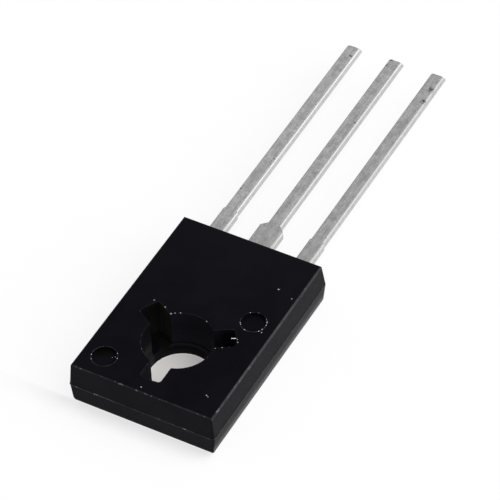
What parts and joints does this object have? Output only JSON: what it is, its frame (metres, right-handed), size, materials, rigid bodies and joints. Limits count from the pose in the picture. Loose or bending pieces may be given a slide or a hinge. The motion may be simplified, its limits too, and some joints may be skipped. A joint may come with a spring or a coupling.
{
  "type": "plastic power transistor",
  "caption": "Flat black moulded power transistor with a lobed screw hole near one end, straight tinned leads at the other and a bare metal pad on its back.",
  "frame": {"origin": "on the axis of the mounting hole, in the back face that goes against a heat sink", "axes": "+Z out of the front face along the mounting hole, +Y along the leads towards their tips, +X to the right seen from the front with the leads pointing away"},
  "size_m": [0.0078, 0.0265, 0.0026],
  "materials": {
    "moulding_epoxy": "fine matte moulded black epoxy",
    "tinned_copper": "satin tin plate over copper",
    "silicon": "polished grey silicon",
    "solder": "dull grey solder",
    "bond_wire": "bright drawn aluminium"
  },
  "bodies": {
    "root": {"case": "moulding_epoxy", "mounting_pad": "tinned_copper", "collector_lead": "tinned_copper", "emitter_lead": "tinned_copper", "base_lead": "tinned_copper", "die": "silicon", "die_attach": "solder", "emitter_wire": "bond_wire", "base_wire": "bond_wire"}
  },
  "joints": []
}
